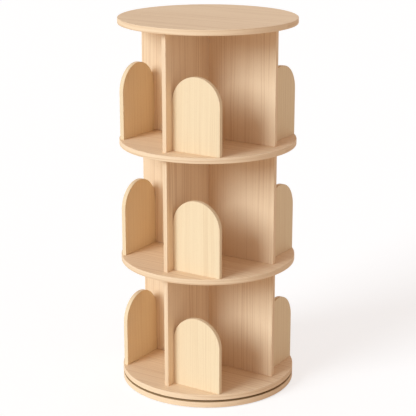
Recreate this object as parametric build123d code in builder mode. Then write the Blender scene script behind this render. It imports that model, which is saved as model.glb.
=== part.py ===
"""Revolving bookcase: three tiers of round shelves that turn on a low ball turntable.

Millimetres, +Z up. The origin is on the turning axis, on the floor. The front is -Y.
"""

from build123d import *
import math
import os

# Round boards
DISC_DIAMETER = 470.0  # base, shelves and top
BOARD = 15.0  # thickness of every round board
EDGE_EASE = 1.5  # eased upper edge of the top
TIER_CLEAR = 305.0  # clear height of a tier

# Dividers, two boards halved into each other in each tier
PANEL = 12.0  # thickness of dividers and arch panels
DIVIDER_INSET = 28.0  # from a round board's rim to a divider's outer end
LAP_CLEARANCE = 0.1  # each side of a board in the other board's slot

# Arch panels, one in each compartment
ARCH_WIDTH = 142.0
ARCH_HEIGHT = 196.0
ARCH_SETBACK = 27.0  # from the divider's outer end to the arch's front face

# Foot pads
PAD_COUNT = 6
PAD_SIDE = 30.0
PAD_HEIGHT = 2.0
PAD_INSET = 40.0  # from the base's rim to a pad's middle

# Turntable between the base and the bottom shelf
TURNTABLE_HEIGHT = 6.0
BALL_CIRCLE = 234.0  # diameter through the ball centres
BALL_DIAMETER = 3.5
BALL_COUNT = 16
BALL_CLEARANCE = 0.1  # between a ball and its raceways
RING_WIDTH = 22.0  # radial width of each ring, from its lip
LIP_GAP = 2.4  # between the lips of the two rings
RETAINER_WALL = 0.6
RETAINER_HEIGHT = 5.0
RETAINER_CLEARANCE = 0.15  # between a ball and its window
LINKS_PER_BALL = 2  # flat links of the retainer

# Hardware. What is small and repeats is drawn with flats, which keeps the model light.
FLATS = 6
FIT = 0.05  # gap around a dowel, bolt, cam or screw in its hole
DOWEL_DIAMETER = 6.0
DOWEL_LENGTH = 20.0
DOWEL_IN_BOARD = 8.0  # depth of a dowel in a shelf or in a divider's face
DOWEL_INSET = 54.0  # from a divider's outer end to the dowel under it
ARCH_DOWEL_RISE = 60.0  # from the shelf to the dowel in an arch's edge
CAM_DIAMETER = 12.0
CAM_DEPTH = 9.5
CAM_INSET = 99.0  # from a divider's outer end to a cam
CAM_DROP = 24.0  # from a divider's top edge to a cam's middle
BOLT_DIAMETER = 5.0
BOLT_IN_BOARD = 8.0  # depth of a cam bolt in the board above
SCREW_DIAMETER = 3.5
SCREW_HEAD_DIAMETER = 7.0
SCREW_LENGTH = 14.0
SCREW_HEAD_RIM = 0.3  # straight rim of a countersunk head
SCREW_COUNT = 4  # in each ring
SCREW_INSET = 13.0  # from a ring's lip to its screws
ACCESS_DIAMETER = 10.0  # hole in the base for driving the turning ring's screws

# Heights
ARM_COUNT = 4  # divider arms, and compartments, in a tier
TIERS = ("lower", "middle", "upper")
BASE_Z = PAD_HEIGHT
GAP_Z = BASE_Z + BOARD
BALL_Z = GAP_Z + TURNTABLE_HEIGHT / 2
BOTTOM_SHELF_Z = GAP_Z + TURNTABLE_HEIGHT
TIER_RISE = BOARD + TIER_CLEAR
SHELF_NAMES = ("bottom_shelf", "lower_middle_shelf", "upper_middle_shelf", "top_disc")
SHELF_Z = [BOTTOM_SHELF_Z + level * TIER_RISE for level in range(len(SHELF_NAMES))]
TIER_Z = [BOTTOM_SHELF_Z + BOARD + level * TIER_RISE for level in range(len(TIERS))]

# Places worked out from the sizes above
DIVIDER_REACH = DISC_DIAMETER / 2 - DIVIDER_INSET  # reaches are from the axis
DOWEL_REACH = DIVIDER_REACH - DOWEL_INSET
CAM_REACH = DIVIDER_REACH - CAM_INSET
SLOT_WIDTH = PANEL + 2 * LAP_CLEARANCE
SLOT_HEIGHT = TIER_CLEAR / 2 + LAP_CLEARANCE  # a halving joint, so each board loses half of its height
ARCH_FRONT = DIVIDER_REACH - ARCH_SETBACK  # from the axis to an arch's front face
ARCH_MIDDLE = ARCH_FRONT - PANEL / 2
ARCH_RADIUS = ARCH_WIDTH / 2
CAM_CHANNEL = BOLT_DIAMETER / math.cos(math.pi / FLATS) + 2 * FIT  # slot in a cam for its bolt
BALL_RADIUS = BALL_DIAMETER / 2
RACE_RADIUS = BALL_CIRCLE / 2
GROOVE_APEX = (BALL_RADIUS + BALL_CLEARANCE) * math.sqrt(2)  # from a ball's centre
GROOVE_HALF = GROOVE_APEX - LIP_GAP / 2  # half of a groove's height at the lip
RING_HEIGHT = TURNTABLE_HEIGHT / 2 + GROOVE_HALF  # a ring ends where its groove runs out
FIXED_SCREW_CIRCLE = RACE_RADIUS + LIP_GAP / 2 + SCREW_INSET
TURNING_SCREW_CIRCLE = RACE_RADIUS - LIP_GAP / 2 - SCREW_INSET
SCREW_TAPER = (SCREW_HEAD_DIAMETER - SCREW_DIAMETER) / 2  # a right-angled countersink
SCREW_IN_BOARD = SCREW_LENGTH - RING_HEIGHT

os.makedirs("parts", exist_ok=True)


def save(piece, name):
    """Labels a finished piece and writes it to its own file."""
    piece.label = name
    export_step(piece, f"parts/{name}.step")


def flatted(diameter, gap=0.0):
    """The section of a piece of small hardware, or of its hole when there is a gap around it."""
    RegularPolygon(diameter / 2 + gap, FLATS, major_radius=False)


def turned(plane, quarter_turns):
    """A plane carried round the bookcase's axis by quarter turns."""
    return Plane(Rot(0, 0, 90 * quarter_turns) * plane.location)


def divider_face(level, quarter_turns):
    """The cam side of a divider: x runs along the board, y up from the shelf, z out of the face."""
    face = Plane(origin=(0, PANEL / 2, TIER_Z[level]), x_dir=(-1, 0, 0), z_dir=(0, 1, 0))
    return turned(face, quarter_turns)


def arch_face(level, quarter_turns):
    """The front of an arch panel: x runs out from its divider, y up from the shelf."""
    face = Plane(origin=(PANEL / 2, -ARCH_FRONT, TIER_Z[level]), x_dir=(1, 0, 0), z_dir=(0, -1, 0))
    return turned(face, quarter_turns)


def arch_joint(level, quarter_turns):
    """Where an arch panel meets its divider: z points into the arch."""
    middle = (PANEL / 2, -ARCH_MIDDLE, TIER_Z[level] + ARCH_DOWEL_RISE)
    return turned(Plane(origin=middle, x_dir=(0, 1, 0), z_dir=(1, 0, 0)), quarter_turns)


# Base, with its foot pads. The access hole lets a driver reach the screws of the turning ring.
with BuildPart() as base_disc:
    with BuildSketch(Plane.XY.offset(BASE_Z)):
        Circle(DISC_DIAMETER / 2)
        with Locations((TURNING_SCREW_CIRCLE, 0)):
            RegularPolygon(ACCESS_DIAMETER / 2, FLATS, mode=Mode.SUBTRACT)
    extrude(amount=BOARD)
    with BuildSketch(Plane.XY.offset(GAP_Z)):
        with PolarLocations(FIXED_SCREW_CIRCLE, SCREW_COUNT):
            flatted(SCREW_DIAMETER, FIT)
    extrude(amount=-SCREW_IN_BOARD - FIT, mode=Mode.SUBTRACT)
save(base_disc.part, "base_disc")

with BuildPart() as foot_pads:
    with BuildSketch():
        with PolarLocations(DISC_DIAMETER / 2 - PAD_INSET, PAD_COUNT):
            Rectangle(PAD_SIDE, PAD_SIDE)
    extrude(amount=PAD_HEIGHT)
save(foot_pads.part, "foot_pads")


def ring_section(side, board_z):
    """Half section of a turntable ring that lies on a board's face, with a V raceway towards the balls.

    The fixed ring is on the outer side of the balls, the turning ring on the inner side.
    """
    lip = RACE_RADIUS + side * LIP_GAP / 2
    back = lip + side * RING_WIDTH
    free_z = board_z + math.copysign(RING_HEIGHT, BALL_Z - board_z)
    with BuildSketch(Plane.XZ) as section:
        with BuildLine():
            Polyline(
                (back, board_z),
                (lip, board_z),
                (lip, 2 * BALL_Z - free_z),
                (RACE_RADIUS + side * GROOVE_APEX, BALL_Z),
                (lip, free_z),
                (back, free_z),
                close=True,
            )
        make_face()
    return section.sketch


def ring_of_screws(circle, head_plane, length, gap=0.0):
    """Countersunk screws with their heads flush with a plane, or their holes when there is a gap."""
    with BuildPart() as screws:
        with BuildSketch(head_plane):
            with PolarLocations(circle, SCREW_COUNT):
                flatted(SCREW_HEAD_DIAMETER, gap)
        extrude(amount=-SCREW_HEAD_RIM - SCREW_TAPER)
        inner_faces = screws.faces().group_by(Axis((0, 0, 0), head_plane.z_dir))[0]
        chamfer(inner_faces.edges(), SCREW_TAPER)
        with BuildSketch(head_plane):
            with PolarLocations(circle, SCREW_COUNT):
                flatted(SCREW_DIAMETER, gap)
        extrude(amount=-length)
    return screws.part


# Turntable. The outer ring is screwed down to the base, the inner ring up to the bottom shelf.
fixed_heads = Plane.XY.offset(GAP_Z + RING_HEIGHT)
turning_heads = Plane(origin=(0, 0, BOTTOM_SHELF_Z - RING_HEIGHT), x_dir=(1, 0, 0), z_dir=(0, 0, -1))

fixed_holes = ring_of_screws(FIXED_SCREW_CIRCLE, fixed_heads, RING_HEIGHT, FIT)
turning_holes = ring_of_screws(TURNING_SCREW_CIRCLE, turning_heads, RING_HEIGHT, FIT)

with BuildPart() as fixed_ring:
    revolve(ring_section(1, GAP_Z), axis=Axis.Z)
    add(fixed_holes, mode=Mode.SUBTRACT)
save(fixed_ring.part, "turntable_fixed_ring")

with BuildPart() as turning_ring:
    revolve(ring_section(-1, BOTTOM_SHELF_Z), axis=Axis.Z)
    add(turning_holes, mode=Mode.SUBTRACT)
save(turning_ring.part, "turntable_turning_ring")

save(ring_of_screws(FIXED_SCREW_CIRCLE, fixed_heads, SCREW_LENGTH), "fixed_ring_screws")
save(ring_of_screws(TURNING_SCREW_CIRCLE, turning_heads, SCREW_LENGTH), "turning_ring_screws")

# Ball with 26 flats, its corners on the ball's own sphere
BALL_FLAT = BALL_RADIUS / math.sqrt(5 + 2 * math.sqrt(2))  # half of a flat's side

with BuildPart() as balls:
    with PolarLocations(RACE_RADIUS, BALL_COUNT):
        with Locations((0, 0, BALL_Z)):
            Box(*[2 * BALL_FLAT * (1 + math.sqrt(2))] * 3)
    chamfer(balls.edges(), BALL_FLAT * math.sqrt(2))
save(balls.part, "bearing_balls")

# Retainer, a band of flat links with a window for each ball
with BuildPart() as retainer:
    links = LINKS_PER_BALL * BALL_COUNT
    with BuildSketch(Plane.XY.offset(BALL_Z - RETAINER_HEIGHT / 2)):
        outer, inner = RACE_RADIUS + RETAINER_WALL / 2, RACE_RADIUS - RETAINER_WALL / 2
        RegularPolygon(outer, links, major_radius=False, rotation=180 / links)
        RegularPolygon(inner, links, major_radius=False, rotation=180 / links, mode=Mode.SUBTRACT)
    extrude(amount=RETAINER_HEIGHT)
    window = BALL_DIAMETER + 2 * RETAINER_CLEARANCE
    with PolarLocations(RACE_RADIUS, BALL_COUNT):
        with Locations((0, 0, BALL_Z)):
            Box(LIP_GAP, window, window, mode=Mode.SUBTRACT)
save(retainer.part, "ball_retainer")

# Shelves and top. Dowel holes are in the upper face, cam bolt holes in the underside.
for level, name in enumerate(SHELF_NAMES):
    underside = Plane(origin=(0, 0, SHELF_Z[level]), x_dir=(1, 0, 0), z_dir=(0, 0, -1))
    upper_face = Plane.XY.offset(SHELF_Z[level] + BOARD)
    with BuildPart() as shelf:
        with BuildSketch(Plane.XY.offset(SHELF_Z[level])):
            Circle(DISC_DIAMETER / 2)
        extrude(amount=BOARD)
        if name == "top_disc":
            chamfer(shelf.edges().sort_by(Axis.Z)[-1], EDGE_EASE)
        else:
            with BuildSketch(upper_face):
                with PolarLocations(DOWEL_REACH, ARM_COUNT):
                    flatted(DOWEL_DIAMETER, FIT)
            extrude(amount=-DOWEL_IN_BOARD - FIT, mode=Mode.SUBTRACT)
        if name == "bottom_shelf":
            with BuildSketch(underside):
                with PolarLocations(TURNING_SCREW_CIRCLE, SCREW_COUNT):
                    flatted(SCREW_DIAMETER, FIT)
            extrude(amount=-SCREW_IN_BOARD - FIT, mode=Mode.SUBTRACT)
        else:
            with BuildSketch(underside):
                with PolarLocations(CAM_REACH, ARM_COUNT):
                    flatted(BOLT_DIAMETER, FIT)
            extrude(amount=-BOLT_IN_BOARD - FIT, mode=Mode.SUBTRACT)
    save(shelf.part, name)

# Dividers. In each tier one board is slotted from below and crosses one that is slotted from above.
for level, tier in enumerate(TIERS):
    for quarter_turns, run in enumerate(("left_right", "front_back")):
        face = divider_face(level, quarter_turns)
        top_edge = Plane.XY.offset(TIER_Z[level] + TIER_CLEAR)
        bottom_edge = Plane.XY.offset(TIER_Z[level])
        with BuildPart() as divider:
            with BuildSketch(face):
                Rectangle(2 * DIVIDER_REACH, TIER_CLEAR, align=(Align.CENTER, Align.MIN))
                slot_foot = 0 if run == "left_right" else TIER_CLEAR - SLOT_HEIGHT
                with Locations((0, slot_foot)):
                    Rectangle(SLOT_WIDTH, SLOT_HEIGHT, align=(Align.CENTER, Align.MIN), mode=Mode.SUBTRACT)
            extrude(amount=-PANEL)
            with BuildSketch(face):
                with GridLocations(2 * CAM_REACH, 0, 2, 1):
                    with Locations((0, TIER_CLEAR - CAM_DROP)):
                        flatted(CAM_DIAMETER, FIT)
            extrude(amount=-CAM_DEPTH - FIT, mode=Mode.SUBTRACT)
            with BuildSketch(turned(top_edge, quarter_turns)):
                with GridLocations(2 * CAM_REACH, 0, 2, 1):
                    flatted(BOLT_DIAMETER, FIT)
            extrude(amount=-CAM_DROP, mode=Mode.SUBTRACT)
            with BuildSketch(turned(bottom_edge, quarter_turns)):
                with GridLocations(2 * DOWEL_REACH, 0, 2, 1):
                    flatted(DOWEL_DIAMETER, FIT)
            extrude(amount=DOWEL_LENGTH - DOWEL_IN_BOARD + FIT, mode=Mode.SUBTRACT)
            for half_turn in (1, 3):
                with BuildSketch(arch_joint(level, quarter_turns + half_turn)):
                    flatted(DOWEL_DIAMETER, FIT)
                extrude(amount=-DOWEL_IN_BOARD - FIT, mode=Mode.SUBTRACT)
        save(divider.part, f"{tier}_divider_{run}")

# Arch panels, each butted on the side of a divider arm
for level, tier in enumerate(TIERS):
    for quarter_turns, side in enumerate(("front", "right", "back", "left")):
        with BuildPart() as arch:
            with BuildSketch(arch_face(level, quarter_turns)):
                with BuildLine():
                    shoulder = ARCH_HEIGHT - ARCH_RADIUS
                    Polyline((0, shoulder), (0, 0), (ARCH_WIDTH, 0), (ARCH_WIDTH, shoulder))
                    ThreePointArc((ARCH_WIDTH, shoulder), (ARCH_RADIUS, ARCH_HEIGHT), (0, shoulder))
                make_face()
            extrude(amount=-PANEL)
            with BuildSketch(arch_joint(level, quarter_turns)):
                flatted(DOWEL_DIAMETER, FIT)
            extrude(amount=DOWEL_LENGTH - DOWEL_IN_BOARD + FIT, mode=Mode.SUBTRACT)
        save(arch.part, f"{tier}_arch_{side}")

# Joining hardware of the three tiers
with BuildPart() as divider_dowels:
    for level in range(len(TIERS)):
        with BuildSketch(Plane.XY.offset(TIER_Z[level] - DOWEL_IN_BOARD)):
            with PolarLocations(DOWEL_REACH, ARM_COUNT):
                flatted(DOWEL_DIAMETER)
        extrude(amount=DOWEL_LENGTH)
save(divider_dowels.part, "divider_dowels")

with BuildPart() as arch_dowels:
    for level in range(len(TIERS)):
        for quarter_turns in range(ARM_COUNT):
            with BuildSketch(arch_joint(level, quarter_turns).offset(-DOWEL_IN_BOARD)):
                flatted(DOWEL_DIAMETER)
            extrude(amount=DOWEL_LENGTH)
save(arch_dowels.part, "arch_dowels")

with BuildPart() as cam_bolts:
    for level in range(len(TIERS)):
        bolt_end = TIER_CLEAR - CAM_DROP - BOLT_DIAMETER / 2
        with BuildSketch(Plane.XY.offset(TIER_Z[level] + bolt_end)):
            with PolarLocations(CAM_REACH, ARM_COUNT):
                flatted(BOLT_DIAMETER)
        extrude(amount=TIER_CLEAR - bolt_end + BOLT_IN_BOARD)
save(cam_bolts.part, "cam_bolts")

with BuildPart() as cam_locks:
    for level in range(len(TIERS)):
        for quarter_turns in range(2):
            face = divider_face(level, quarter_turns)
            with BuildSketch(face):
                with GridLocations(2 * CAM_REACH, 0, 2, 1):
                    with Locations((0, TIER_CLEAR - CAM_DROP)):
                        flatted(CAM_DIAMETER)
            extrude(amount=-CAM_DEPTH)
            with BuildSketch(face.offset(-(PANEL - CAM_CHANNEL) / 2)):
                with GridLocations(2 * CAM_REACH, 0, 2, 1):
                    with Locations((0, TIER_CLEAR - CAM_DROP - CAM_CHANNEL / 2)):
                        Rectangle(CAM_CHANNEL, CAM_DIAMETER + CAM_CHANNEL, align=(Align.CENTER, Align.MIN))
            extrude(amount=-CAM_CHANNEL, mode=Mode.SUBTRACT)
save(cam_locks.part, "cam_locks")
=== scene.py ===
"""Looks of the revolving bookcase: pale wooden boards, joining fittings and a ball turntable."""

import math

import bmesh
import bpy
from bpy.props import FloatProperty, FloatVectorProperty, IntProperty, PointerProperty
from mathutils import Matrix, Vector


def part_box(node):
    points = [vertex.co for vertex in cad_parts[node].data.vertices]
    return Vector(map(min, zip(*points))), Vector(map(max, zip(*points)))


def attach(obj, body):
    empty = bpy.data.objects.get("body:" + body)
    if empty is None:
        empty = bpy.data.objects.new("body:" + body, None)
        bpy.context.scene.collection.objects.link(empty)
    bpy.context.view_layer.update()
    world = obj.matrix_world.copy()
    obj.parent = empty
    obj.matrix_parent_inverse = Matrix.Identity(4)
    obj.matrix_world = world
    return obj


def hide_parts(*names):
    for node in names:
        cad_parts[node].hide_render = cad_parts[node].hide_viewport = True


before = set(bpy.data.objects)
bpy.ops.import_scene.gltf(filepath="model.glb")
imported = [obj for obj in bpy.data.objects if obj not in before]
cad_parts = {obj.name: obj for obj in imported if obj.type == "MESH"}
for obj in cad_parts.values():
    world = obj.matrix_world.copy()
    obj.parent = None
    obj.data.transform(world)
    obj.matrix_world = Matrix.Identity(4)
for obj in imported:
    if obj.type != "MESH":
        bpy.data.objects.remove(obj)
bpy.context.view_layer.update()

bl_info = {
    "name": "Revolving Bookcase",
    "version": (1, 0, 0),
    "blender": (4, 5, 0),
    "location": "3D View > Sidebar > Bookcase",
    "description": "Boards, fittings, turntable and studio of a revolving bookcase",
    "category": "Object",
}

MM = 0.001
SPECK = 0.002 * MM
HEAD_LIP = 0.3 * MM
SENSOR_WIDTH = 36.0
BORE_STEPS = 32
RING_STEPS = 192
TIERS = ("lower", "middle", "upper")
SIDES = ("front", "right", "back", "left")
SHELVES = ("bottom_shelf", "lower_middle_shelf", "upper_middle_shelf", "top_disc")
SHARP = math.radians(35)


def length(name, description, millimetres):
    """A size that a user can set, in Blender's own length unit."""
    return FloatProperty(name=name, description=description, default=millimetres * MM, min=0.0,
                         precision=5, subtype="DISTANCE", unit="LENGTH")


def colour(name, description, red, green, blue):
    """A linear colour that a user can set."""
    return FloatVectorProperty(name=name, description=description, default=(red, green, blue),
                               min=0.0, max=1.0, size=3, subtype="COLOR")


def angle(name, description, degrees):
    """An angle that a user can set."""
    return FloatProperty(name=name, description=description, default=math.radians(degrees),
                         subtype="ANGLE", unit="ROTATION")


def share(name, description, value, top=1.0):
    """A plain number that a user can set."""
    return FloatProperty(name=name, description=description, default=value, min=0.0, max=top)


class BookcaseBoards(bpy.types.PropertyGroup):
    """Sizes of the boards that the frame's boxes don't give."""

    rim_round: length("Rim rounding", "Radius of the eased rims of the round boards", 1.5)
    divider_round: length("Divider rounding", "Radius of the eased edges of the dividers", 1.0)
    arch_round: length("Arch rounding", "Radius of the eased free edges of the arch panels", 0.9)
    slot_width: length("Slot width", "Width of the halving slot in a divider", 12.2)
    slot_height: length("Slot height", "Depth of the halving slot in a divider", 152.6)
    pad_side: length("Pad side", "Side of a square foot pad", 30.0)
    pad_corner: length("Pad corner", "Corner radius of a foot pad", 5.0)
    rim_steps: IntProperty(name="Rim steps", description="Straight steps round a round board",
                           default=192, min=24)
    arch_steps: IntProperty(name="Arch steps", description="Straight steps over an arch",
                            default=56, min=8)


class BookcaseFittings(bpy.types.PropertyGroup):
    """Sizes and places of the dowels, cams, bolts and screws."""

    hole_gap: length("Hole gap", "Gap around a fitting in its hole", 0.1)
    dowel_diameter: length("Dowel diameter", "Diameter of a wooden dowel", 6.0)
    dowel_length: length("Dowel length", "Length of a wooden dowel", 20.0)
    dowel_depth: length("Dowel depth", "How far a dowel goes into a shelf or a divider's face", 8.0)
    dowel_reach: length("Dowel reach", "From the axis to a dowel under a divider", 153.0)
    arch_dowel_rise: length("Arch dowel rise", "From the shelf to the dowel of an arch panel", 60.0)
    cam_diameter: length("Cam diameter", "Diameter of a cam lock", 12.0)
    cam_depth: length("Cam depth", "Depth of a cam lock in its divider", 9.5)
    cam_reach: length("Cam reach", "From the axis to a cam lock", 108.0)
    cam_drop: length("Cam drop", "From a divider's top edge to the middle of a cam lock", 24.0)
    bolt_diameter: length("Bolt diameter", "Diameter of a cam bolt", 5.0)
    bolt_depth: length("Bolt depth", "How far a cam bolt goes into the board above", 8.0)
    screw_diameter: length("Screw diameter", "Diameter of a ring screw", 3.5)
    screw_head: length("Screw head", "Diameter of a ring screw's countersunk head", 7.0)
    screw_length: length("Screw length", "Length of a ring screw", 14.0)
    fixed_circle: length("Fixed ring screws", "From the axis to a screw of the fixed ring", 131.2)
    turning_circle: length("Turning ring screws", "From the axis to a screw of the turning ring", 102.8)
    access_hole: length("Access hole", "Diameter of the base's hole for driving the screws", 10.0)
    ring_width: length("Ring width", "Width of a turntable ring from its lip to its back", 22.0)
    ball_diameter: length("Ball diameter", "Diameter of a bearing ball", 3.5)
    ball_circle: length("Ball circle", "From the axis to the middle of a ball", 117.0)
    ball_count: IntProperty(name="Balls", description="Bearing balls in the turntable", default=16, min=3)


class BookcaseWood(bpy.types.PropertyGroup):
    """The pale wood of the boards, the painted shade along the gap over the base and the unfinished wood
    of the dowels.
    """

    pale: colour("Pale wood", "Lightest tone between the streaks", 0.87, 0.705, 0.475)
    mellow: colour("Mellow wood", "Middle tone of the boards", 0.835, 0.66, 0.435)
    deep: colour("Deep wood", "Tone of the darkest streaks", 0.75, 0.56, 0.35)
    fleck: colour("Fleck", "Tone of the short dark flecks", 0.50, 0.31, 0.155)
    board_tint: colour("Board tint", "Shelves and dividers beside the paler arch panels", 1.0, 0.94, 0.95)
    # Painted shade: a darker tan tone for the faces inside the narrow gap over the base, in place of the
    # shade that falls there.
    bare: colour("Bare board", "Faces along the gap over the base that are left bare", 0.52, 0.34, 0.16)
    dowel: colour("Dowel", "Bare wood of the dowels", 0.70, 0.48, 0.25)
    streak_width: length("Streak width", "Usual width of a growth streak", 5.0)
    fibre_width: length("Fibre width", "Usual width of a fibre line", 0.7)
    fleck_length: length("Fleck length", "Usual length of a fleck along the grain", 7.0)
    board_evenness: share("Board evenness", "How gently the streaks of shelves and dividers change", 0.065)
    arch_evenness: share("Arch evenness", "How gently the streaks of the arch panels change", 0.17)
    roughness: share("Roughness", "Middle roughness of the lacquered wood", 0.7)


class BookcaseMetal(bpy.types.PropertyGroup):
    """Finishes of the fittings and the turntable."""

    aluminium: colour("Aluminium", "Turned aluminium of the rings", 0.60, 0.60, 0.61)
    zinc: colour("Zinc plate", "Bright plating of screws, bolts and balls", 0.62, 0.63, 0.64)
    cast: colour("Cast zinc", "Dull cast metal of the cam locks", 0.42, 0.42, 0.43)
    cage: colour("Cage", "Moulded plastic of the ball cage", 0.72, 0.70, 0.64)
    pad: colour("Foot pad", "Dark rubber of the foot pads", 0.035, 0.032, 0.03)


class BookcaseStage(bpy.types.PropertyGroup):
    """Camera, lamps and floor."""

    camera_place: FloatVectorProperty(name="Camera place", description="Where the camera stands",
                                      default=(1.8140, -2.8864, 1.4793),
                                      subtype="TRANSLATION", unit="LENGTH")
    camera_turn: FloatVectorProperty(name="Camera turn", description="How the camera is turned",
                                     default=(math.radians(73.674), 0.0, math.radians(32.147)),
                                     subtype="EULER", unit="ROTATION")
    lens: FloatProperty(name="Lens", description="Focal length on a 36 mm sensor", default=113.92,
                        subtype="DISTANCE_CAMERA", unit="CAMERA")
    key_strength: share("Key strength", "Strength of the soft lamp at the front left", 2.58, 20.0)
    key_tone: colour("Key tone", "Colour of the soft lamp", 0.79, 0.92, 1.0)
    key_turn: angle("Key turn", "Turn of the soft lamp from the front, to the right", -19.0)
    key_climb: angle("Key climb", "Height of the soft lamp above the level", 25.0)
    key_spread: angle("Key spread", "How wide the soft lamp looks from the bookcase", 30.0)
    fill_strength: share("Fill strength", "Strength of the weak warm lamp at the right", 0.12, 20.0)
    fill_turn: angle("Fill turn", "Turn of the weak lamp from the front, to the right", 75.0)
    fill_climb: angle("Fill climb", "Height of the weak lamp above the level", 12.0)
    fill_tone: colour("Fill tone", "Colour of the weak lamp", 1.0, 0.92, 0.78)
    back_strength: share("Back strength", "Strength of the weak lamp behind the bookcase", 0.6, 20.0)
    back_turn: angle("Back turn", "Turn of the lamp behind from the front, to the right", 190.0)
    back_climb: angle("Back climb", "Height of the lamp behind above the level", 6.0)
    sky_strength: share("Sky strength", "Strength of the even light from all round", 0.48, 10.0)
    sky_tone: colour("Sky tone", "Colour of the even light", 1.0, 0.82, 0.75)
    floor: colour("Floor", "Colour of the light that the floor throws back", 0.86, 0.77, 0.66)
    floor_shade: share("Floor shade", "How strongly shadows show on the floor", 0.45)
    floor_lift: share("Floor lift", "Light seen from the floor besides what falls on it", 0.66)


# Forms


def inset(points, eased, distance):
    """An outline moved inwards, each side by its own share of the distance."""
    count = len(points)
    normals = []
    for i, (x, y) in enumerate(points):
        nx, ny = points[(i + 1) % count]
        side = math.hypot(nx - x, ny - y)
        normals.append(((y - ny) / side, (nx - x) / side))
    moved = []
    for i, (x, y) in enumerate(points):
        (ax, ay), (bx, by) = normals[i - 1], normals[i]
        a, b = distance * eased[i - 1], distance * eased[i]
        cross = ax * by - ay * bx
        if abs(cross) < 1e-6:
            moved.append((x + ax * a, y + ay * a))
        else:
            moved.append((x + (a * by - b * ay) / cross, y + (b * ax - a * bx) / cross))
    return moved


def stack(loops, capped=True, around=None, grain=0, start=(0.0, 0.0), face_bands=(), arris=None):
    """A mesh from loops of points, one below the other.

    The map named grain runs along one axis on the faces and round the loops on the edges.
    """
    bm = bmesh.new()
    paler_arris = bm.verts.layers.float.new("arris")
    uv = bm.loops.layers.uv.new("grain")
    rows = [[bm.verts.new(point) for point in loop] for loop in loops]
    if arris:
        for row, value in zip(rows, arris):
            for vert in row:
                vert[paler_arris] = value
    count = len(loops[0])
    around = around or [0.0] * (count + 1)

    def on_face(vert):
        return start[0] + vert.co[grain], start[1] + vert.co[1 - grain]

    pairs = list(zip(range(len(rows)), range(1, len(rows))))
    if not capped:
        pairs.append((len(rows) - 1, 0))
    for band, (upper, lower) in enumerate(pairs):
        for j in range(count):
            k = (j + 1) % count
            corners = (rows[upper][j], rows[lower][j], rows[lower][k], rows[upper][k])
            face = bm.faces.new(corners)
            face.smooth = True
            for loop, vert, step in zip(face.loops, corners, (j, j, j + 1, j + 1)):
                edge = (start[0] + around[step], start[1] + vert.co.z)
                loop[uv].uv = on_face(vert) if band in face_bands else edge
    if capped:
        for row in (rows[0], rows[-1][::-1]):
            face = bm.faces.new(row)
            for loop in face.loops:
                loop[uv].uv = on_face(loop.vert)
    mesh = bpy.data.meshes.new("form")
    bm.to_mesh(mesh)
    bm.free()
    crease(mesh)
    return mesh


def crease(mesh):
    """Clears specks and marks the hard edges, so that flat faces and holes shade cleanly."""
    bm = bmesh.new()
    bm.from_mesh(mesh)
    bmesh.ops.dissolve_degenerate(bm, dist=SPECK, edges=bm.edges)
    bm.normal_update()
    for edge in bm.edges:
        edge.smooth = not edge.is_manifold or edge.calc_face_angle() < SHARP
    bm.to_mesh(mesh)
    bm.free()


def board(outline, eased, thickness, rounding, grain=0, start=(0.0, 0.0), steps=4):
    """A flat board below z = 0 with rounded arrises, its grain along the outline's x or y."""
    hold = min(0.5 * MM, thickness / 4 - rounding / 2)
    half = [(rounding + hold, 0.0, 0.0)]
    for i in range(steps + 1):
        turn = math.pi / 2 * i / steps
        depth = rounding * (1 - math.sin(turn))
        # The third value is largest at the middle of the rounding; the finish makes the arris paler there.
        half.append((depth, -rounding * (1 - math.cos(turn)), math.sin(2 * turn)))
    half.append((0.0, -rounding - hold, 0.0))
    layers = half + [(depth, -thickness - z, paler_arris) for depth, z, paler_arris in reversed(half)]
    loops = [[(x, y, z) for x, y in inset(outline, eased, depth)] for depth, z, paler_arris in layers]
    around = [0.0]
    for i, point in enumerate(outline):
        around.append(around[-1] + math.dist(point, outline[(i + 1) % len(outline)]))
    near = range(1 + steps // 2)
    bands = set(near) | {len(layers) - 2 - band for band in near}
    return stack(loops, True, around, grain, start, bands, [paler_arris for depth, z, paler_arris in layers])


def circle(radius, steps):
    """Points round a circle."""
    return [(radius * math.cos(2 * math.pi * i / steps), radius * math.sin(2 * math.pi * i / steps))
            for i in range(steps)]


def turned(profile, steps=48, capped=True):
    """A turned form from points of radius and height, from the top down."""
    return stack([[(x, y, z) for x, y in circle(radius, steps)] for radius, z in profile], capped)


def block(low, high):
    """A plain block, for cutting."""
    (a, b, c), (d, e, f) = low, high
    return stack([[(a, b, z), (d, b, z), (d, e, z), (a, e, z)] for z in (f, c)])


def joined(parts):
    """One mesh from pairs of a mesh and its place."""
    bm = bmesh.new()
    for mesh, place in parts:
        copy = mesh.copy()
        copy.transform(place)
        bm.from_mesh(copy)
        bpy.data.meshes.remove(copy)
    mesh = bpy.data.meshes.new("form")
    bm.to_mesh(mesh)
    bm.free()
    return mesh


def cut(mesh, tools):
    """The mesh with the tools, which are pairs of a mesh and its place, taken out of it."""
    work = bpy.data.objects.new("work", mesh)
    tool = bpy.data.objects.new("tool", joined(tools))
    for thing in (work, tool):
        bpy.context.scene.collection.objects.link(thing)
    step = work.modifiers.new("cut", "BOOLEAN")
    step.operation, step.solver, step.object = "DIFFERENCE", "EXACT", tool
    graph = bpy.context.evaluated_depsgraph_get()
    result = bpy.data.meshes.new_from_object(work.evaluated_get(graph))
    for thing in (work, tool):
        spent = thing.data
        bpy.data.objects.remove(thing)
        bpy.data.meshes.remove(spent)
    if not result.polygons:
        raise RuntimeError("the cut left nothing of the board")
    crease(result)
    return result


def at(x=0.0, y=0.0, z=0.0):
    """A place without a turn."""
    return Matrix.Translation((x, y, z))


def quarter(turns):
    """Quarter turns round the bookcase's axis."""
    return Matrix.Rotation(math.pi / 2 * turns, 4, "Z")


def upright(origin, along):
    """An upright panel's place: x along the board, y up, z out of its face."""
    x, y = Vector(along), Vector((0, 0, 1))
    place = Matrix((x, y, x.cross(y))).transposed().to_4x4()
    place.translation = origin
    return place


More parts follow.
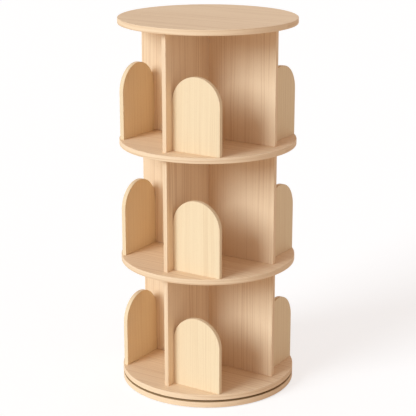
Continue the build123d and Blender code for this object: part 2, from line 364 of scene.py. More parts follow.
def ring_of(count, radius, z=0.0):
    """Places round the axis, each turned with its x pointing out."""
    return [Matrix.Rotation(2 * math.pi * i / count, 4, "Z") @ at(radius, 0, z) for i in range(count)]


def grain_start(number):
    """A different stretch of grain for each board."""
    return number * 0.618034 % 1 * 5, number * 0.381966 % 1 * 3


def piece(name, mesh, body, slot, finish, *nodes):
    """Puts a finished mesh in the scene, riding on its body in place of its nodes."""
    mesh.name = name
    mesh.materials.clear()
    mesh.materials.append(finish)
    thing = bpy.data.objects.new(name, mesh)
    bpy.context.scene.collection.objects.link(thing)
    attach(thing, body)
    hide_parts(*nodes)
    return thing


# Finishes


class Finish:
    """A material or a sky under construction, with short ways to add its nodes."""

    def __init__(self, owner):
        owner.use_nodes = True
        self.owner = owner
        self.tree = owner.node_tree
        self.shader = self.tree.nodes.get("Principled BSDF")

    def node(self, kind, **inputs):
        """A new node with inputs set or linked."""
        made = self.tree.nodes.new("ShaderNode" + kind)
        for key, value in inputs.items():
            self.put(made.inputs[key.replace("_", " ")], value)
        return made

    def put(self, socket, value):
        """Links or sets a socket."""
        if isinstance(value, bpy.types.NodeSocket):
            self.tree.links.new(value, socket)
        else:
            socket.default_value = value

    def scaled(self, vector, x, y, z):
        """A vector stretched along its axes."""
        made = self.node("VectorMath")
        made.operation = "MULTIPLY"
        self.put(made.inputs[0], vector)
        made.inputs[1].default_value = (x, y, z)
        return made.outputs[0]

    def noise(self, vector, detail=2.0, roughness=0.5):
        """Cloudy noise from 0 to 1."""
        made = self.node("TexNoise", Vector=vector, Scale=1.0, Detail=detail, Roughness=roughness)
        return made.outputs["Fac"]

    def span(self, value, low, high, to_low, to_high):
        """A value moved into another range."""
        made = self.node("MapRange", Value=value)
        for key, number in zip(("From Min", "From Max", "To Min", "To Max"), (low, high, to_low, to_high)):
            made.inputs[key].default_value = number
        return made.outputs[0]

    def ramp(self, value, *stops):
        """Tones along a value, from places and tones."""
        made = self.node("ValToRGB", Fac=value)
        steps = made.color_ramp.elements
        while len(steps) < len(stops):
            steps.new(1.0)
        for step, (place, tone) in zip(steps, stops):
            step.position, step.color = place, (*tone, 1.0)
        return made.outputs["Color"]

    def over(self, amount, below, above):
        """One tone laid over another."""
        made = self.node("Mix")
        made.data_type = "RGBA"
        for socket, value in ((made.inputs[0], amount), (made.inputs[6], below), (made.inputs[7], above)):
            self.put(socket, (*value, 1.0) if isinstance(value, (tuple, list)) else value)
        return made.outputs[2]

    def total(self, *values):
        """The sum of some values."""
        result = values[0]
        for value in values[1:]:
            made = self.node("Math")
            made.operation = "ADD"
            self.put(made.inputs[0], result)
            self.put(made.inputs[1], value)
            result = made.outputs[0]
        return result

    def relief(self, height, depth, strength):
        """Fine relief on the surface."""
        made = self.node("Bump", Height=height, Distance=depth, Strength=strength)
        self.put(self.shader.inputs["Normal"], made.outputs[0])

    def set(self, **inputs):
        """Sets or links the shader's own inputs."""
        for key, value in inputs.items():
            if isinstance(value, tuple):
                value = (*value, 1.0)
            self.put(self.shader.inputs[key.replace("_", " ")], value)


def made_once(build):
    """Keeps one material for all the pieces that share a finish."""

    def get():
        name = build.__name__
        return bpy.data.materials.get(name) or build(name, bpy.context.scene).owner

    return get


@made_once
def board_wood(name, scene):
    """Wood of the shelves and dividers."""
    wood = scene.bookcase_wood
    return pale_wood(name, wood, wood.board_tint, wood.board_evenness)


@made_once
def gap_wood(name, scene):
    """Wood of the two boards along the gap over the base, with painted shade on the faces inside the gap.
    """
    wood = scene.bookcase_wood
    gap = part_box("base_disc")[1].z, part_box("bottom_shelf")[0].z
    return pale_wood(name, wood, wood.board_tint, wood.board_evenness, gap)


@made_once
def arch_wood(name, scene):
    """Wood of the arch panels, a shade paler."""
    wood = scene.bookcase_wood
    return pale_wood(name, wood, (1.0, 1.0, 1.0), wood.arch_evenness)


def pale_wood(name, wood, tint, evenness, bare=None):
    """Lacquered pale boards: wandering growth streaks, fibre lines and short flecks along the grain.

    Faces between the two given heights take painted shade: a darker tan tone, with a trace of the grain.
    """
    pale, mellow, deep, fleck = (tuple(a * b for a, b in zip(tone, tint))
                                 for tone in (wood.pale, wood.mellow, wood.deep, wood.fleck))
    f = Finish(bpy.data.materials.new(name))
    grain = f.node("UVMap")
    grain.uv_map = "grain"
    along = grain.outputs[0]
    wander = f.span(f.noise(f.scaled(along, 2.2, 11.0, 1.0)), 0.25, 0.75, -6 * MM, 6 * MM)
    shift = f.node("CombineXYZ", Y=wander).outputs[0]
    path = f.node("VectorMath")
    f.put(path.inputs[0], along)
    f.put(path.inputs[1], shift)
    path = path.outputs[0]
    streaks = f.noise(f.scaled(path, 1.1, 1 / wood.streak_width, 1.0), 5.0, 0.62)
    fibres = f.noise(f.scaled(path, 22.0, 1 / wood.fibre_width, 1.0), 2.0, 0.6)
    patches = f.noise(f.scaled(along, 1.7, 8.0, 1.0), 2.0, 0.5)
    flecks = f.noise(f.scaled(path, 1 / wood.fleck_length, 1 / (0.55 * wood.fibre_width), 1.0), 1.0, 0.5)
    middle = 0.47
    tone = f.ramp(f.total(f.span(streaks, 0.0, 1.0, 0.0, 0.8), f.span(patches, 0.0, 1.0, 0.0, 0.2)),
                  (middle - evenness, deep), (middle, mellow), (middle + evenness, pale))
    tone = f.over(f.span(fibres, 0.52, 0.80, 0.0, 0.35), tone, deep)
    spots = f.span(flecks, 0.66, 0.76, 0.0, 0.45)
    tone = f.over(spots, tone, fleck)
    # The tone turns paler towards the middle of each rounded arris, on every edge alike.
    paler_arris = f.node("Attribute")
    paler_arris.attribute_name = "arris"
    tone = f.over(f.span(paler_arris.outputs["Fac"], 0.0, 1.0, 0.0, 0.35), tone, pale)
    # Painted shade: between the two heights the tone turns to a darker tan, standing in for the shade
    # inside the gap.
    if bare:
        rise = f.node("SeparateXYZ", Vector=f.node("TexCoord").outputs["Object"]).outputs["Z"]
        low, high = bare
        cover, near, far = 0.85, 0.1 * MM, 0.3 * MM
        above = f.span(rise, low - far, low - near, 0.0, cover)
        beyond = f.span(rise, high + near, high + far, 0.0, -cover)
        tone = f.over(f.total(above, beyond), tone, tuple(wood.bare))
    f.set(Base_Color=tone, Specular_IOR_Level=0.12,
          Roughness=f.span(fibres, 0.3, 0.7, wood.roughness - 0.06, wood.roughness + 0.08))
    height = f.total(f.span(fibres, 0.3, 0.7, 0.0, 0.6), f.span(spots, 0.0, 0.45, 0.0, -0.8))
    f.relief(height, 0.08 * MM, 0.35)
    return f


@made_once
def bare_dowel(name, scene):
    """Unfinished wood of the dowels, with its grain along them."""
    wood = scene.bookcase_wood
    f = Finish(bpy.data.materials.new(name))
    place = f.node("TexCoord").outputs["Object"]
    fibres = f.noise(f.scaled(place, 900.0, 900.0, 120.0), 3.0, 0.6)
    tone = f.ramp(fibres, (0.3, tuple(c * 0.78 for c in wood.dowel)), (0.7, tuple(wood.dowel)))
    f.set(Base_Color=tone, Roughness=f.span(fibres, 0.3, 0.7, 0.62, 0.78), Specular_IOR_Level=0.3)
    f.relief(fibres, 0.1 * MM, 0.5)
    return f


@made_once
def turned_aluminium(name, scene):
    """Rings with the fine concentric lines that a lathe leaves."""
    f = Finish(bpy.data.materials.new(name))
    place = f.node("TexCoord").outputs["Object"]
    reach = f.node("VectorMath")
    reach.operation = "LENGTH"
    f.put(reach.inputs[0], f.scaled(place, 1.0, 1.0, 0.0))
    lines = f.node("CombineXYZ", X=reach.outputs["Value"]).outputs[0]
    lines = f.noise(f.scaled(lines, 2600.0, 1.0, 1.0), 3.0, 0.7)
    cloud = f.noise(f.scaled(place, 60.0, 60.0, 60.0), 3.0, 0.6)
    metal = tuple(scene.bookcase_metal.aluminium)
    tone = f.ramp(cloud, (0.3, tuple(c * 0.86 for c in metal)), (0.7, metal))
    f.set(Base_Color=tone, Metallic=1.0, Roughness=f.span(lines, 0.3, 0.7, 0.30, 0.46))
    f.relief(lines, 0.03 * MM, 0.4)
    return f


@made_once
def zinc_plate(name, scene):
    """Bright plated steel with a faint cloudy bloom."""
    f = Finish(bpy.data.materials.new(name))
    place = f.node("TexCoord").outputs["Object"]
    bloom = f.noise(f.scaled(place, 420.0, 420.0, 420.0), 4.0, 0.6)
    metal = tuple(scene.bookcase_metal.zinc)
    tone = f.ramp(bloom, (0.3, (metal[0] * 0.80, metal[1] * 0.81, metal[2] * 0.84)), (0.7, metal))
    f.set(Base_Color=tone, Metallic=1.0, Roughness=f.span(bloom, 0.3, 0.7, 0.22, 0.36))
    f.relief(bloom, 0.02 * MM, 0.3)
    return f


@made_once
def cast_zinc(name, scene):
    """Dull die-cast metal with a fine granular skin."""
    f = Finish(bpy.data.materials.new(name))
    place = f.node("TexCoord").outputs["Object"]
    skin = f.noise(f.scaled(place, 2400.0, 2400.0, 2400.0), 3.0, 0.6)
    cloud = f.noise(f.scaled(place, 300.0, 300.0, 300.0), 2.0, 0.5)
    metal = tuple(scene.bookcase_metal.cast)
    tone = f.ramp(cloud, (0.3, tuple(c * 0.78 for c in metal)), (0.7, metal))
    f.set(Base_Color=tone, Metallic=1.0, Roughness=f.span(cloud, 0.3, 0.7, 0.38, 0.54))
    f.relief(skin, 0.04 * MM, 0.5)
    return f


@made_once
def cage_plastic(name, scene):
    """Matt moulded plastic of the ball cage."""
    f = Finish(bpy.data.materials.new(name))
    place = f.node("TexCoord").outputs["Object"]
    skin = f.noise(f.scaled(place, 3000.0, 3000.0, 3000.0), 2.0, 0.5)
    cloud = f.noise(f.scaled(place, 45.0, 45.0, 45.0), 2.0, 0.5)
    plastic = tuple(scene.bookcase_metal.cage)
    tone = f.ramp(cloud, (0.3, tuple(c * 0.92 for c in plastic)), (0.7, plastic))
    f.set(Base_Color=tone, Roughness=f.span(skin, 0.3, 0.7, 0.48, 0.60))
    f.relief(skin, 0.02 * MM, 0.4)
    return f


@made_once
def pad_rubber(name, scene):
    """Matt rubber with a pebbled skin and a dusting of wear."""
    f = Finish(bpy.data.materials.new(name))
    place = f.node("TexCoord").outputs["Object"]
    pebbles = f.noise(f.scaled(place, 1500.0, 1500.0, 1500.0), 2.0, 0.5)
    dust = f.noise(f.scaled(place, 130.0, 130.0, 130.0), 3.0, 0.6)
    rubber = tuple(scene.bookcase_metal.pad)
    tone = f.ramp(dust, (0.35, rubber), (0.75, tuple(c * 1.9 for c in rubber)))
    f.set(Base_Color=tone, Roughness=f.span(dust, 0.3, 0.7, 0.72, 0.90), Specular_IOR_Level=0.3)
    f.relief(pebbles, 0.1 * MM, 0.5)
    return f


# Operators


class BOOKCASE_OT_round_boards(bpy.types.Operator):
    """Make the base, the shelves and the top, with their rounded rims and holes"""

    bl_idname = "bookcase.round_boards"
    bl_label = "Round boards"

    def execute(self, context):
        sizes, fit = context.scene.bookcase_boards, context.scene.bookcase_fittings
        low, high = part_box("turntable_fixed_ring")
        screw_depth = fit.screw_length - (high.z - low.z) + fit.hole_gap
        for number, node in enumerate(("base_disc", *SHELVES)):
            low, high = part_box(node)
            rim = circle(high.x, sizes.rim_steps)
            thickness = high.z - low.z
            mesh = board(rim, [1.0] * len(rim), thickness, sizes.rim_round, 0, grain_start(number))
            tools = []
            if node == "base_disc":
                access = self.hole(fit.access_hole, 1.5 * thickness)
                tools.append((access, at(fit.turning_circle, 0, -thickness / 2)))
                pilot = self.hole(fit.screw_diameter + fit.hole_gap, 2 * screw_depth)
                tools += [(pilot, place) for place in ring_of(4, fit.fixed_circle)]
            elif node != "top_disc":
                socket = self.hole(fit.dowel_diameter + fit.hole_gap, 2 * (fit.dowel_depth + fit.hole_gap))
                tools += [(socket, place) for place in ring_of(4, fit.dowel_reach)]
            if node == "bottom_shelf":
                pilot = self.hole(fit.screw_diameter + fit.hole_gap, 2 * screw_depth)
                tools += [(pilot, place) for place in ring_of(4, fit.turning_circle, -thickness)]
            elif node != "base_disc":
                socket = self.hole(fit.bolt_diameter + fit.hole_gap, 2 * (fit.bolt_depth + fit.hole_gap))
                tools += [(socket, place) for place in ring_of(4, fit.cam_reach, -thickness)]
            mesh = cut(mesh, tools)
            mesh.transform(at(z=high.z))
            body = "base" if node == "base_disc" else "carcass"
            # The base and the bottom shelf take the wood with painted shade on the faces inside the gap
            # between them.
            finish = gap_wood() if node in ("base_disc", "bottom_shelf") else board_wood()
            piece(f"{node}_board", mesh, body, "board", finish, node)
        return {"FINISHED"}

    def hole(self, diameter, depth):
        return turned([(diameter / 2, depth / 2), (diameter / 2, -depth / 2)], BORE_STEPS)


class BOOKCASE_OT_dividers(bpy.types.Operator):
    """Make the crossing dividers, halved into each other, with their sockets"""

    bl_idname = "bookcase.dividers"
    bl_label = "Dividers"

    def execute(self, context):
        for level, tier in enumerate(TIERS):
            for turns, run in enumerate(("left_right", "front_back")):
                node = f"{tier}_divider_{run}"
                low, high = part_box(node)
                reach, rise, thickness = high[turns], high.z - low.z, 2 * high[1 - turns]
                start = grain_start(10 + 2 * level + turns)
                mesh = self.panel(context.scene, reach, rise, thickness, run, start)
                mesh.transform(quarter(turns) @ upright((0, thickness / 2, low.z), (-1, 0, 0)))
                piece(f"{node}_panel", mesh, "carcass", "board", board_wood(), node)
        return {"FINISHED"}

    def panel(self, scene, reach, rise, thickness, run, start):
        sizes, fit = scene.bookcase_boards, scene.bookcase_fittings
        w, h = sizes.slot_width / 2, sizes.slot_height
        plain, slot = 1.0, 0.12
        if run == "left_right":
            outline = [(-reach, 0), (-w, 0), (-w, h), (w, h), (w, 0), (reach, 0)]
            outline += [(reach, rise), (-reach, rise)]
            eased = [plain, slot, slot, slot, plain, plain, plain, plain]
        else:
            h = rise - h
            outline = [(-reach, 0), (reach, 0), (reach, rise)]
            outline += [(w, rise), (w, h), (-w, h), (-w, rise), (-reach, rise)]
            eased = [plain, plain, plain, slot, slot, slot, plain, plain]
        mesh = board(outline, eased, thickness, sizes.divider_round, 1, start)
        gap = fit.hole_gap / 2
        radius = fit.cam_diameter / 2 + gap
        eased_mouth = [(radius + 0.8 * MM, MM), (radius + 0.3 * MM, 0), (radius, -0.3 * MM)]
        cam = turned([*eased_mouth, (radius, -fit.cam_depth)], 48)
        bolt = self.bore(fit.bolt_diameter / 2 + gap, fit.cam_drop, "down")
        radius = fit.dowel_diameter / 2 + gap
        dowel = self.bore(radius, fit.dowel_length - fit.dowel_depth + gap, "up")
        face_dowel = turned([(radius, MM), (radius, -fit.dowel_depth - gap)], BORE_STEPS)
        tools = []
        for side in (-1, 1):
            tools.append((cam, at(side * fit.cam_reach, rise - fit.cam_drop)))
            tools.append((bolt, at(side * fit.cam_reach, rise, -thickness / 2)))
            tools.append((dowel, at(side * fit.dowel_reach, 0, -thickness / 2)))
        middle = self.arch_middle(thickness)
        tools.append((face_dowel, at(-middle, fit.arch_dowel_rise)))
        far_side = at(middle, fit.arch_dowel_rise, -thickness) @ Matrix.Rotation(math.pi, 4, "Y")
        tools.append((face_dowel, far_side))
        return cut(mesh, tools)

    def arch_middle(self, thickness):
        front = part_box("lower_arch_front")[0].y
        return -front - thickness / 2

    def bore(self, radius, depth, way):
        """A bore into an edge, along the panel's y."""
        span = (MM, -depth) if way == "down" else (depth, -MM)
        straight = turned([(radius, z) for z in span], BORE_STEPS)
        return joined([(straight, Matrix.Rotation(-math.pi / 2, 4, "X"))])


class BOOKCASE_OT_arches(bpy.types.Operator):
    """Make the arch-topped panels with their eased free edges"""

    bl_idname = "bookcase.arches"
    bl_label = "Arch panels"

    def execute(self, context):
        sizes, fit = context.scene.bookcase_boards, context.scene.bookcase_fittings
        for level, tier in enumerate(TIERS):
            low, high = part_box(f"{tier}_arch_front")
            width, rise, thickness = high.x - low.x, high.z - low.z, high.y - low.y
            outline, eased = self.outline(width, rise, sizes.arch_steps)
            radius = fit.dowel_diameter / 2 + fit.hole_gap / 2
            bore = turned([(radius, fit.dowel_length - fit.dowel_depth), (radius, -MM)], BORE_STEPS)
            into = at(0, fit.arch_dowel_rise, -thickness / 2) @ Matrix.Rotation(math.pi / 2, 4, "Y")
            for turns, side in enumerate(SIDES):
                start = grain_start(20 + 4 * level + turns)
                mesh = board(outline, eased, thickness, sizes.arch_round, 1, start)
                mesh = cut(mesh, [(bore, into)])
                mesh.transform(quarter(turns) @ upright((low.x, low.y, low.z), (1, 0, 0)))
                node = f"{tier}_arch_{side}"
                piece(f"{node}_panel", mesh, "carcass", "board", arch_wood(), node)
        return {"FINISHED"}

    def outline(self, width, rise, steps):
        radius = width / 2
        shoulder = rise - radius
        joint, free = 0.35, 1.0
        points, eased = [(0, 0), (width, 0)], [joint, free]
        for i in range(steps):
            turn = math.pi * i / steps
            points.append((radius + radius * math.cos(turn), shoulder + radius * math.sin(turn)))
            eased.append(free)
        points.append((0, shoulder))
        eased.append(joint)
        return points, eased


class BOOKCASE_OT_foot_pads(bpy.types.Operator):
    """Make the foot pads under the base"""

    bl_idname = "bookcase.foot_pads"
    bl_label = "Foot pads"

    def execute(self, context):
        low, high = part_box("foot_pads")
        sizes = context.scene.bookcase_boards
        side, corner = sizes.pad_side, sizes.pad_corner
        straight = side / 2 - corner
        outline = []
        for turns in range(4):
            middle = quarter(turns) @ Vector((straight, straight, 0))
            for i in range(7):
                turn = math.pi / 2 * (turns + i / 6)
                outline.append((middle.x + corner * math.cos(turn), middle.y + corner * math.sin(turn)))
        pad = board(outline, [1.0] * len(outline), high.z - low.z, 0.5 * MM, steps=3)
        mesh = joined([(pad, place) for place in ring_of(6, high.x - side / 2, high.z)])
        piece("base_pads", mesh, "base", "pad", pad_rubber(), "foot_pads")
        return {"FINISHED"}


def screw(fit):
    """A countersunk screw, head up with its face at z = 0, and a cross recess in the head."""
    head, shank = fit.screw_head / 2, fit.screw_diameter / 2
    core, pitch = shank * 0.72, 1.3 * MM
    cone = -HEAD_LIP - head + shank
    z = cone - 2.2 * MM
    profile = [(head - 0.15 * MM, 0), (head, -0.12 * MM), (head, -HEAD_LIP), (shank, cone), (shank, z)]
    while z - pitch > -fit.screw_length + 3 * MM:
        profile += [(core, z - 0.35 * pitch), (core, z - 0.6 * pitch)]
        profile += [(shank, z - 0.85 * pitch), (shank, z - pitch)]
        z -= pitch
    profile += [(core, z - 0.35 * pitch), (0.15 * MM, -fit.screw_length)]
    return cross_recess(turned(profile, BORE_STEPS), 2.0 * MM, 0.42 * MM, 1.5 * MM)


def cross_recess(mesh, arm, half, deep):
    """The mesh with a cross for a screwdriver sunk into its face at z = 0."""
    for x, y in ((arm, half), (half, arm)):
        mesh = cut(mesh, [(block((-x, -y, -deep), (x, y, MM)), at())])
    return mesh


class BOOKCASE_OT_ring_screws(bpy.types.Operator):
    """Make the screws that hold the turntable's two rings"""

    bl_idname = "bookcase.ring_screws"
    bl_label = "Ring screws"

    def execute(self, context):
        fit = context.scene.bookcase_fittings
        form = screw(fit)
        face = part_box("turntable_fixed_ring")[1].z
        mesh = joined([(form, place) for place in ring_of(4, fit.fixed_circle, face)])
        piece("fixed_ring_screw_set", mesh, "base", "steel", zinc_plate(), "fixed_ring_screws")
        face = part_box("turntable_turning_ring")[0].z
        over = Matrix.Rotation(math.pi, 4, "X")
        mesh = joined([(form, place @ over) for place in ring_of(4, fit.turning_circle, face)])
        piece("turning_ring_screw_set", mesh, "carcass", "steel", zinc_plate(), "turning_ring_screws")
        return {"FINISHED"}


class BOOKCASE_OT_turntable_rings(bpy.types.Operator):
    """Turn the fixed and the turning ring, with their raceways and countersunk holes"""

    bl_idname = "bookcase.turntable_rings"
    bl_label = "Turntable rings"

    def execute(self, context):
        fit = context.scene.bookcase_fittings
        low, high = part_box("turntable_fixed_ring")
        profile = self.profile(1, high.x, high.x - fit.ring_width, high.z, low.z)
        holes = [(self.countersink(fit), place) for place in ring_of(4, fit.fixed_circle, high.z)]
        mesh = cut(turned(profile, RING_STEPS, False), holes)
        piece("fixed_ring", mesh, "base", "ring", turned_aluminium(), "turntable_fixed_ring")
        low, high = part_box("turntable_turning_ring")
        profile = self.profile(-1, high.x - fit.ring_width, high.x, low.z, high.z)
        over = Matrix.Rotation(math.pi, 4, "X")
        holes = [(self.countersink(fit), place @ over) for place in ring_of(4, fit.turning_circle, low.z)]
        mesh = cut(turned(profile, RING_STEPS, False), holes)
        piece("turning_ring", mesh, "carcass", "ring", turned_aluminium(), "turntable_turning_ring")
        return {"FINISHED"}

    def profile(self, side, back, lip, free, seat):
        """A ring's section round its raceway; side is 1 for the outer ring and -1 for the inner one."""
        ease, blunt = 0.3 * MM, 0.2 * MM
        rise = 1 if free > seat else -1
        low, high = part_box("ball_retainer")
        middle = (low.z + high.z) / 2
        half = abs(free - middle)
        points = [
            (lip + side * 2 * blunt, free), (back - side * ease, free), (back, free - rise * ease),
            (back, seat + rise * ease), (back - side * ease, seat), (lip, seat),
            (lip, middle - rise * half), (lip + side * half, middle),
            (lip + side * blunt, free - rise * blunt),
        ]
        return points if side * rise > 0 else points[::-1]

    def countersink(self, fit):
        head, shank = fit.screw_head / 2 + 0.05 * MM, fit.screw_diameter / 2 + 0.05 * MM
        cone = -HEAD_LIP - head + shank
        return turned([(head, MM), (head, -HEAD_LIP), (shank, cone), (shank, -8 * MM)], BORE_STEPS)


class BOOKCASE_OT_ball_cage(bpy.types.Operator):
    """Make the bearing balls and the cage that spaces them"""

    bl_idname = "bookcase.ball_cage"
    bl_label = "Balls and cage"

    def execute(self, context):
        fit = context.scene.bookcase_fittings
        low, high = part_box("ball_retainer")
        middle = (low.z + high.z) / 2
        places = ring_of(fit.ball_count, fit.ball_circle, middle)
        radius = fit.ball_diameter / 2
        arc = [math.pi * (i + 0.5) / 14 for i in range(14)]
        ball = turned([(radius * math.sin(a), radius * math.cos(a)) for a in arc], 28)
        mesh = joined([(ball, place) for place in places])
        piece("ball_set", mesh, "ball_cage", "steel", zinc_plate(), "bearing_balls")
        wall = 0.3 * MM
        inner, outer = fit.ball_circle - wall, fit.ball_circle + wall
        section = [(inner, high.z), (outer, high.z), (outer, low.z), (inner, low.z)]
        band = turned(section, RING_STEPS, False)
        window = turned([(radius + 0.15 * MM, 2 * MM), (radius + 0.15 * MM, -2 * MM)], 28)
        across = Matrix.Rotation(math.pi / 2, 4, "Y")
        mesh = cut(band, [(window, place @ across) for place in places])
        piece("ball_spacer", mesh, "ball_cage", "retainer", cage_plastic(), "ball_retainer")
        return {"FINISHED"}


class BOOKCASE_OT_dowels(bpy.types.Operator):
    """Make the fluted dowels under the dividers and in the arch panels"""

    bl_idname = "bookcase.dowels"
    bl_label = "Dowels"

    def execute(self, context):
        fit = context.scene.bookcase_fittings
        form = self.fluted(fit.dowel_diameter / 2, fit.dowel_length)
        upright_set, arch_set = [], []
        for tier in TIERS:
            low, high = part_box(f"{tier}_arch_front")
            for turns, place in enumerate(ring_of(4, fit.dowel_reach, low.z - fit.dowel_depth)):
                upright_set.append((form, place))
                seat = at(low.x - fit.dowel_depth, (low.y + high.y) / 2, low.z + fit.arch_dowel_rise)
                arch_set.append((form, quarter(turns) @ seat @ Matrix.Rotation(math.pi / 2, 4, "Y")))
        piece("divider_dowel_set", joined(upright_set), "carcass", "dowel", bare_dowel(), "divider_dowels")
        piece("arch_dowel_set", joined(arch_set), "carcass", "dowel", bare_dowel(), "arch_dowels")
        return {"FINISHED"}

    def fluted(self, radius, span):
        """A dowel from z = 0 upwards with glue flutes and chamfered ends."""
        loops = []
        for cut_back, z in ((0.9, span), (0.0, span - MM), (0.0, MM), (0.9, 0.0)):
            points = circle(radius - cut_back * MM, 48)
            flute = (1.0, 1.0, 0.95, 0.95)
            loops.append([(x * flute[i % 4], y * flute[i % 4], z) for i, (x, y) in enumerate(points)])
        return stack(loops)


class BOOKCASE_OT_cam_fittings(bpy.types.Operator):
    """Make the cam locks in the dividers and the bolts that they pull down"""

    bl_idname = "bookcase.cam_fittings"
    bl_label = "Cam locks and bolts"

    def execute(self, context):
        fit = context.scene.bookcase_fittings
        cam, bolt = self.cam(fit), self.bolt(fit)
        cams, bolts = [], []
        for tier in TIERS:
            for turns, run in enumerate(("left_right", "front_back")):
                low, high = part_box(f"{tier}_divider_{run}")
                face = quarter(turns) @ upright((0, high[1 - turns], low.z), (-1, 0, 0))
                for side in (-1, 1):
                    rise = high.z - low.z - fit.cam_drop
                    cams.append((cam, face @ at(side * fit.cam_reach, rise)))
            bolts += [(bolt, place) for place in ring_of(4, fit.cam_reach, high.z)]
        piece("cam_lock_set", joined(cams), "carcass", "cam", cast_zinc(), "cam_locks")
        piece("cam_bolt_set", joined(bolts), "carcass", "steel", zinc_plate(), "cam_bolts")
        return {"FINISHED"}

    def cam(self, fit):
        """A cam lock just below its divider's face, open at the top for the bolt's head."""
        rim, sunk = fit.cam_diameter / 2 - 0.1 * MM, 0.15 * MM
        profile = [(rim - 0.4 * MM, -sunk), (rim, -sunk - 0.4 * MM), (rim, -2 * MM)]
        profile += [(rim - 0.2 * MM, -2.3 * MM), (rim - 0.2 * MM, -fit.cam_depth)]
        body = cross_recess(turned(profile, 48), 2.7 * MM, 0.65 * MM, 1.6 * MM)
        pointer = block((-0.35 * MM, 3.9 * MM, -0.55 * MM), (0.35 * MM, 5.1 * MM, MM))
        half = fit.bolt_diameter / 2 + 0.45 * MM
        channel = block((-half, -half, -6 * MM - half), (half, 8 * MM, -6 * MM + half))
        for tool in (pointer, channel):
            body = cut(body, [(tool, at())])
        return body

    def bolt(self, fit):
        """A cam bolt from the underside of the board at z = 0: thread above, neck and head below."""
        radius, pitch = fit.bolt_diameter / 2, 1.6 * MM
        core, neck, z = radius - 0.8 * MM, radius - MM, fit.bolt_depth
        profile = [(radius - 0.9 * MM, z)]
        while z - pitch > 0.5 * MM:
            profile += [(radius, z - 0.3 * pitch), (radius, z - 0.5 * pitch)]
            profile += [(core, z - 0.8 * pitch), (core, z - pitch)]
            z -= pitch
        foot = -fit.cam_drop - radius
        profile += [(radius, 0.2 * MM), (radius, foot + 7 * MM)]
        profile += [(neck, foot + 6 * MM), (neck, foot + 3.2 * MM)]
        profile += [(radius, foot + 2.2 * MM), (radius, foot + 0.7 * MM), (radius - 0.7 * MM, foot)]
        return turned(profile, BORE_STEPS)


class BOOKCASE_OT_stage(bpy.types.Operator):
    """Set up the floor, the soft lamps and the camera"""

    bl_idname = "bookcase.stage"
    bl_label = "Stage"

    def execute(self, context):
        scene, look = context.scene, context.scene.bookcase_stage
        scene.view_settings.view_transform = "Standard"
        self.floor(scene, look)
        self.sky(scene, look)
        key = self.lamp(scene, "key", look.key_turn, look.key_climb, look.key_spread)
        key.energy, key.color = look.key_strength, look.key_tone
        fill = self.lamp(scene, "fill", look.fill_turn, look.fill_climb, look.key_spread)
        fill.energy, fill.color = look.fill_strength, look.fill_tone
        back = self.lamp(scene, "back", look.back_turn, look.back_climb, look.key_spread)
        back.energy = look.back_strength
        lens = bpy.data.cameras.new("photo_camera")
        lens.sensor_width, lens.lens = SENSOR_WIDTH, look.lens
        camera = bpy.data.objects.new("photo_camera", lens)
        camera.location, camera.rotation_euler = look.camera_place, look.camera_turn
        scene.collection.objects.link(camera)
        scene.camera = camera
        return {"FINISHED"}

    def lamp(self, scene, name, turn, climb, spread):
        light = bpy.data.lights.new(name, "SUN")
        light.angle = spread
        lamp = bpy.data.objects.new(name, light)
        lamp.rotation_euler = (math.pi / 2 - climb, 0.0, turn)
        lamp.location = (0.0, 0.0, 2.0)
        scene.collection.objects.link(lamp)
        return light

    def floor(self, scene, look):
        reach = 30.0
        mesh = bpy.data.meshes.new("floor")
        corners = [(-reach, -reach, 0), (reach, -reach, 0), (reach, reach, 0), (-reach, reach, 0)]
        mesh.from_pydata(corners, [], [(0, 1, 2, 3)])
        thing = bpy.data.objects.new("floor", mesh)
        scene.collection.objects.link(thing)
        f = Finish(bpy.data.materials.new("pale_floor"))
        f.tree.nodes.remove(f.shader)
        lit = f.node("BsdfDiffuse", Color=(*look.floor, 1.0)).outputs[0]
        shade = look.floor_shade
        white = f.node("BsdfDiffuse", Color=(shade, shade, shade, 1.0)).outputs[0]
        lift = f.node("Emission", Color=(1.0, 1.0, 1.0, 1.0), Strength=look.floor_lift).outputs[0]
        both = f.node("AddShader")
        f.put(both.inputs[0], white)
        f.put(both.inputs[1], lift)
        choice = f.node("MixShader")
        for socket, value in zip(choice.inputs, (self.seen(f), lit, both.outputs[0])):
            f.put(socket, value)
        f.put(f.tree.nodes["Material Output"].inputs["Surface"], choice.outputs[0])
        mesh.materials.append(f.owner)

    def sky(self, scene, look):
        scene.world = bpy.data.worlds.new("studio")
        f = Finish(scene.world)
        light = f.tree.nodes["Background"]
        light.inputs["Color"].default_value = (*look.sky_tone, 1.0)
        light.inputs["Strength"].default_value = look.sky_strength
        white = f.node("Background", Color=(1.0, 1.0, 1.0, 1.0), Strength=1.0).outputs[0]
        choice = f.node("MixShader")
        for socket, value in zip(choice.inputs, (self.seen(f), light.outputs[0], white)):
            f.put(socket, value)
        f.put(f.tree.nodes["World Output"].inputs["Surface"], choice.outputs[0])

    def seen(self, f):
        """1 for what is seen directly, or in a mirror or glass."""
        rays = f.node("LightPath").outputs
        result = rays["Is Camera Ray"]
        for name in ("Is Glossy Ray", "Is Transmission Ray"):
            most = f.node("Math")
            most.operation = "MAXIMUM"
            f.put(most.inputs[0], result)
            f.put(most.inputs[1], rays[name])
            result = most.outputs[0]
        return result


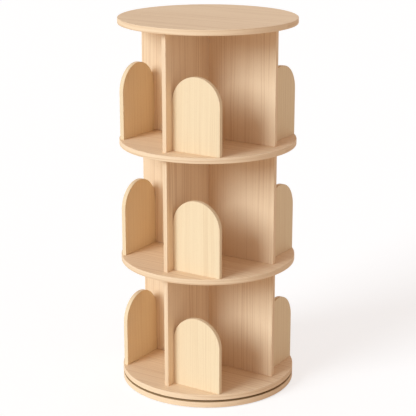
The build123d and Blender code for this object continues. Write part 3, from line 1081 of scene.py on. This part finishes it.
class BOOKCASE_PT_sidebar(bpy.types.Panel):
    """Sizes, finishes and pieces of the revolving bookcase"""

    bl_idname = "BOOKCASE_PT_sidebar"
    bl_label = "Revolving Bookcase"
    bl_space_type = "VIEW_3D"
    bl_region_type = "UI"
    bl_category = "Bookcase"

    def draw(self, context):
        layout = self.layout
        for pointer, (group, title) in POINTERS.items():
            box = layout.box()
            box.label(text=title)
            for name in group.__annotations__:
                box.prop(getattr(context.scene, pointer), name)
        for operator in OPERATORS:
            layout.operator(operator.bl_idname)


OPERATORS = (
    BOOKCASE_OT_round_boards,
    BOOKCASE_OT_dividers,
    BOOKCASE_OT_arches,
    BOOKCASE_OT_foot_pads,
    BOOKCASE_OT_turntable_rings,
    BOOKCASE_OT_ball_cage,
    BOOKCASE_OT_ring_screws,
    BOOKCASE_OT_dowels,
    BOOKCASE_OT_cam_fittings,
    BOOKCASE_OT_stage,
)
POINTERS = {
    "bookcase_boards": (BookcaseBoards, "Boards"),
    "bookcase_fittings": (BookcaseFittings, "Fittings"),
    "bookcase_wood": (BookcaseWood, "Wood"),
    "bookcase_metal": (BookcaseMetal, "Metal and rubber"),
    "bookcase_stage": (BookcaseStage, "Stage"),
}


def register():
    for pointer, (group, title) in POINTERS.items():
        bpy.utils.register_class(group)
        setattr(bpy.types.Scene, pointer, PointerProperty(type=group))
    for item in (*OPERATORS, BOOKCASE_PT_sidebar):
        bpy.utils.register_class(item)


def unregister():
    for item in (BOOKCASE_PT_sidebar, *reversed(OPERATORS)):
        bpy.utils.unregister_class(item)
    for pointer, (group, title) in reversed(POINTERS.items()):
        delattr(bpy.types.Scene, pointer)
        bpy.utils.unregister_class(group)


def main():
    register()
    bpy.ops.bookcase.round_boards()
    bpy.ops.bookcase.dividers()
    bpy.ops.bookcase.arches()
    bpy.ops.bookcase.foot_pads()
    bpy.ops.bookcase.turntable_rings()
    bpy.ops.bookcase.ball_cage()
    bpy.ops.bookcase.ring_screws()
    bpy.ops.bookcase.dowels()
    bpy.ops.bookcase.cam_fittings()
    bpy.ops.bookcase.stage()


if __name__ == "__main__":
    main()
